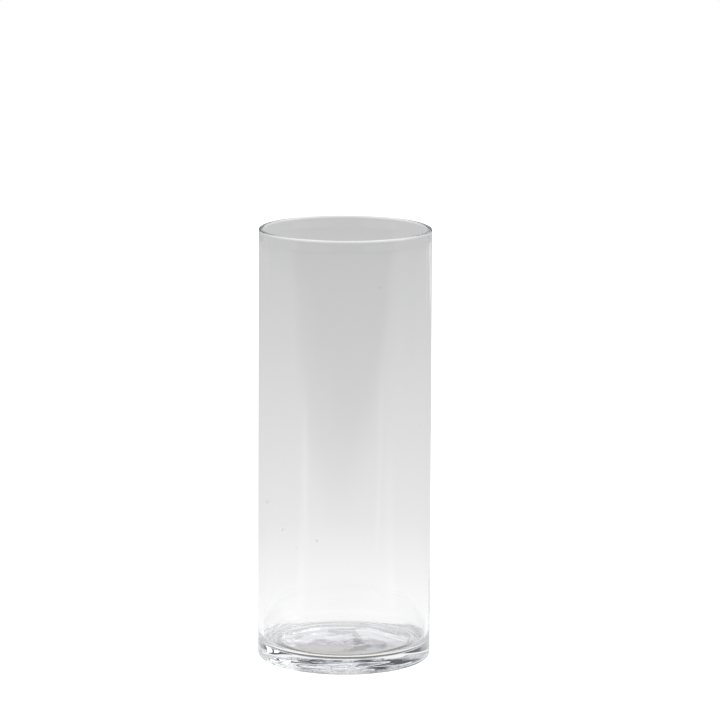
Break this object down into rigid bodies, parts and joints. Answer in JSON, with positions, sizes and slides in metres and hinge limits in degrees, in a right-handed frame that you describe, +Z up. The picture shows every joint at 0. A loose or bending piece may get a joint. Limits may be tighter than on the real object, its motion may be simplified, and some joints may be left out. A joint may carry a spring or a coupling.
{
  "type": "cylinder vase",
  "caption": "Clear glass cylinder vase with a thick base, a straight thin wall and a rounded open rim, for holding cut flowers.",
  "frame": {"origin": "centre of the circle that the vase stands on, in the plane of its foot ring", "axes": "+Z up along the vase's axis, out of its mouth; +X and +Y are free, because the vase is round"},
  "size_m": [0.1, 0.1, 0.25],
  "materials": {
    "clear_glass": "clear colourless soda-lime glass, fire-polished, with a faint grey-green tint through the thick base"
  },
  "bodies": {
    "root": {"vase_body": "clear_glass"}
  },
  "joints": []
}
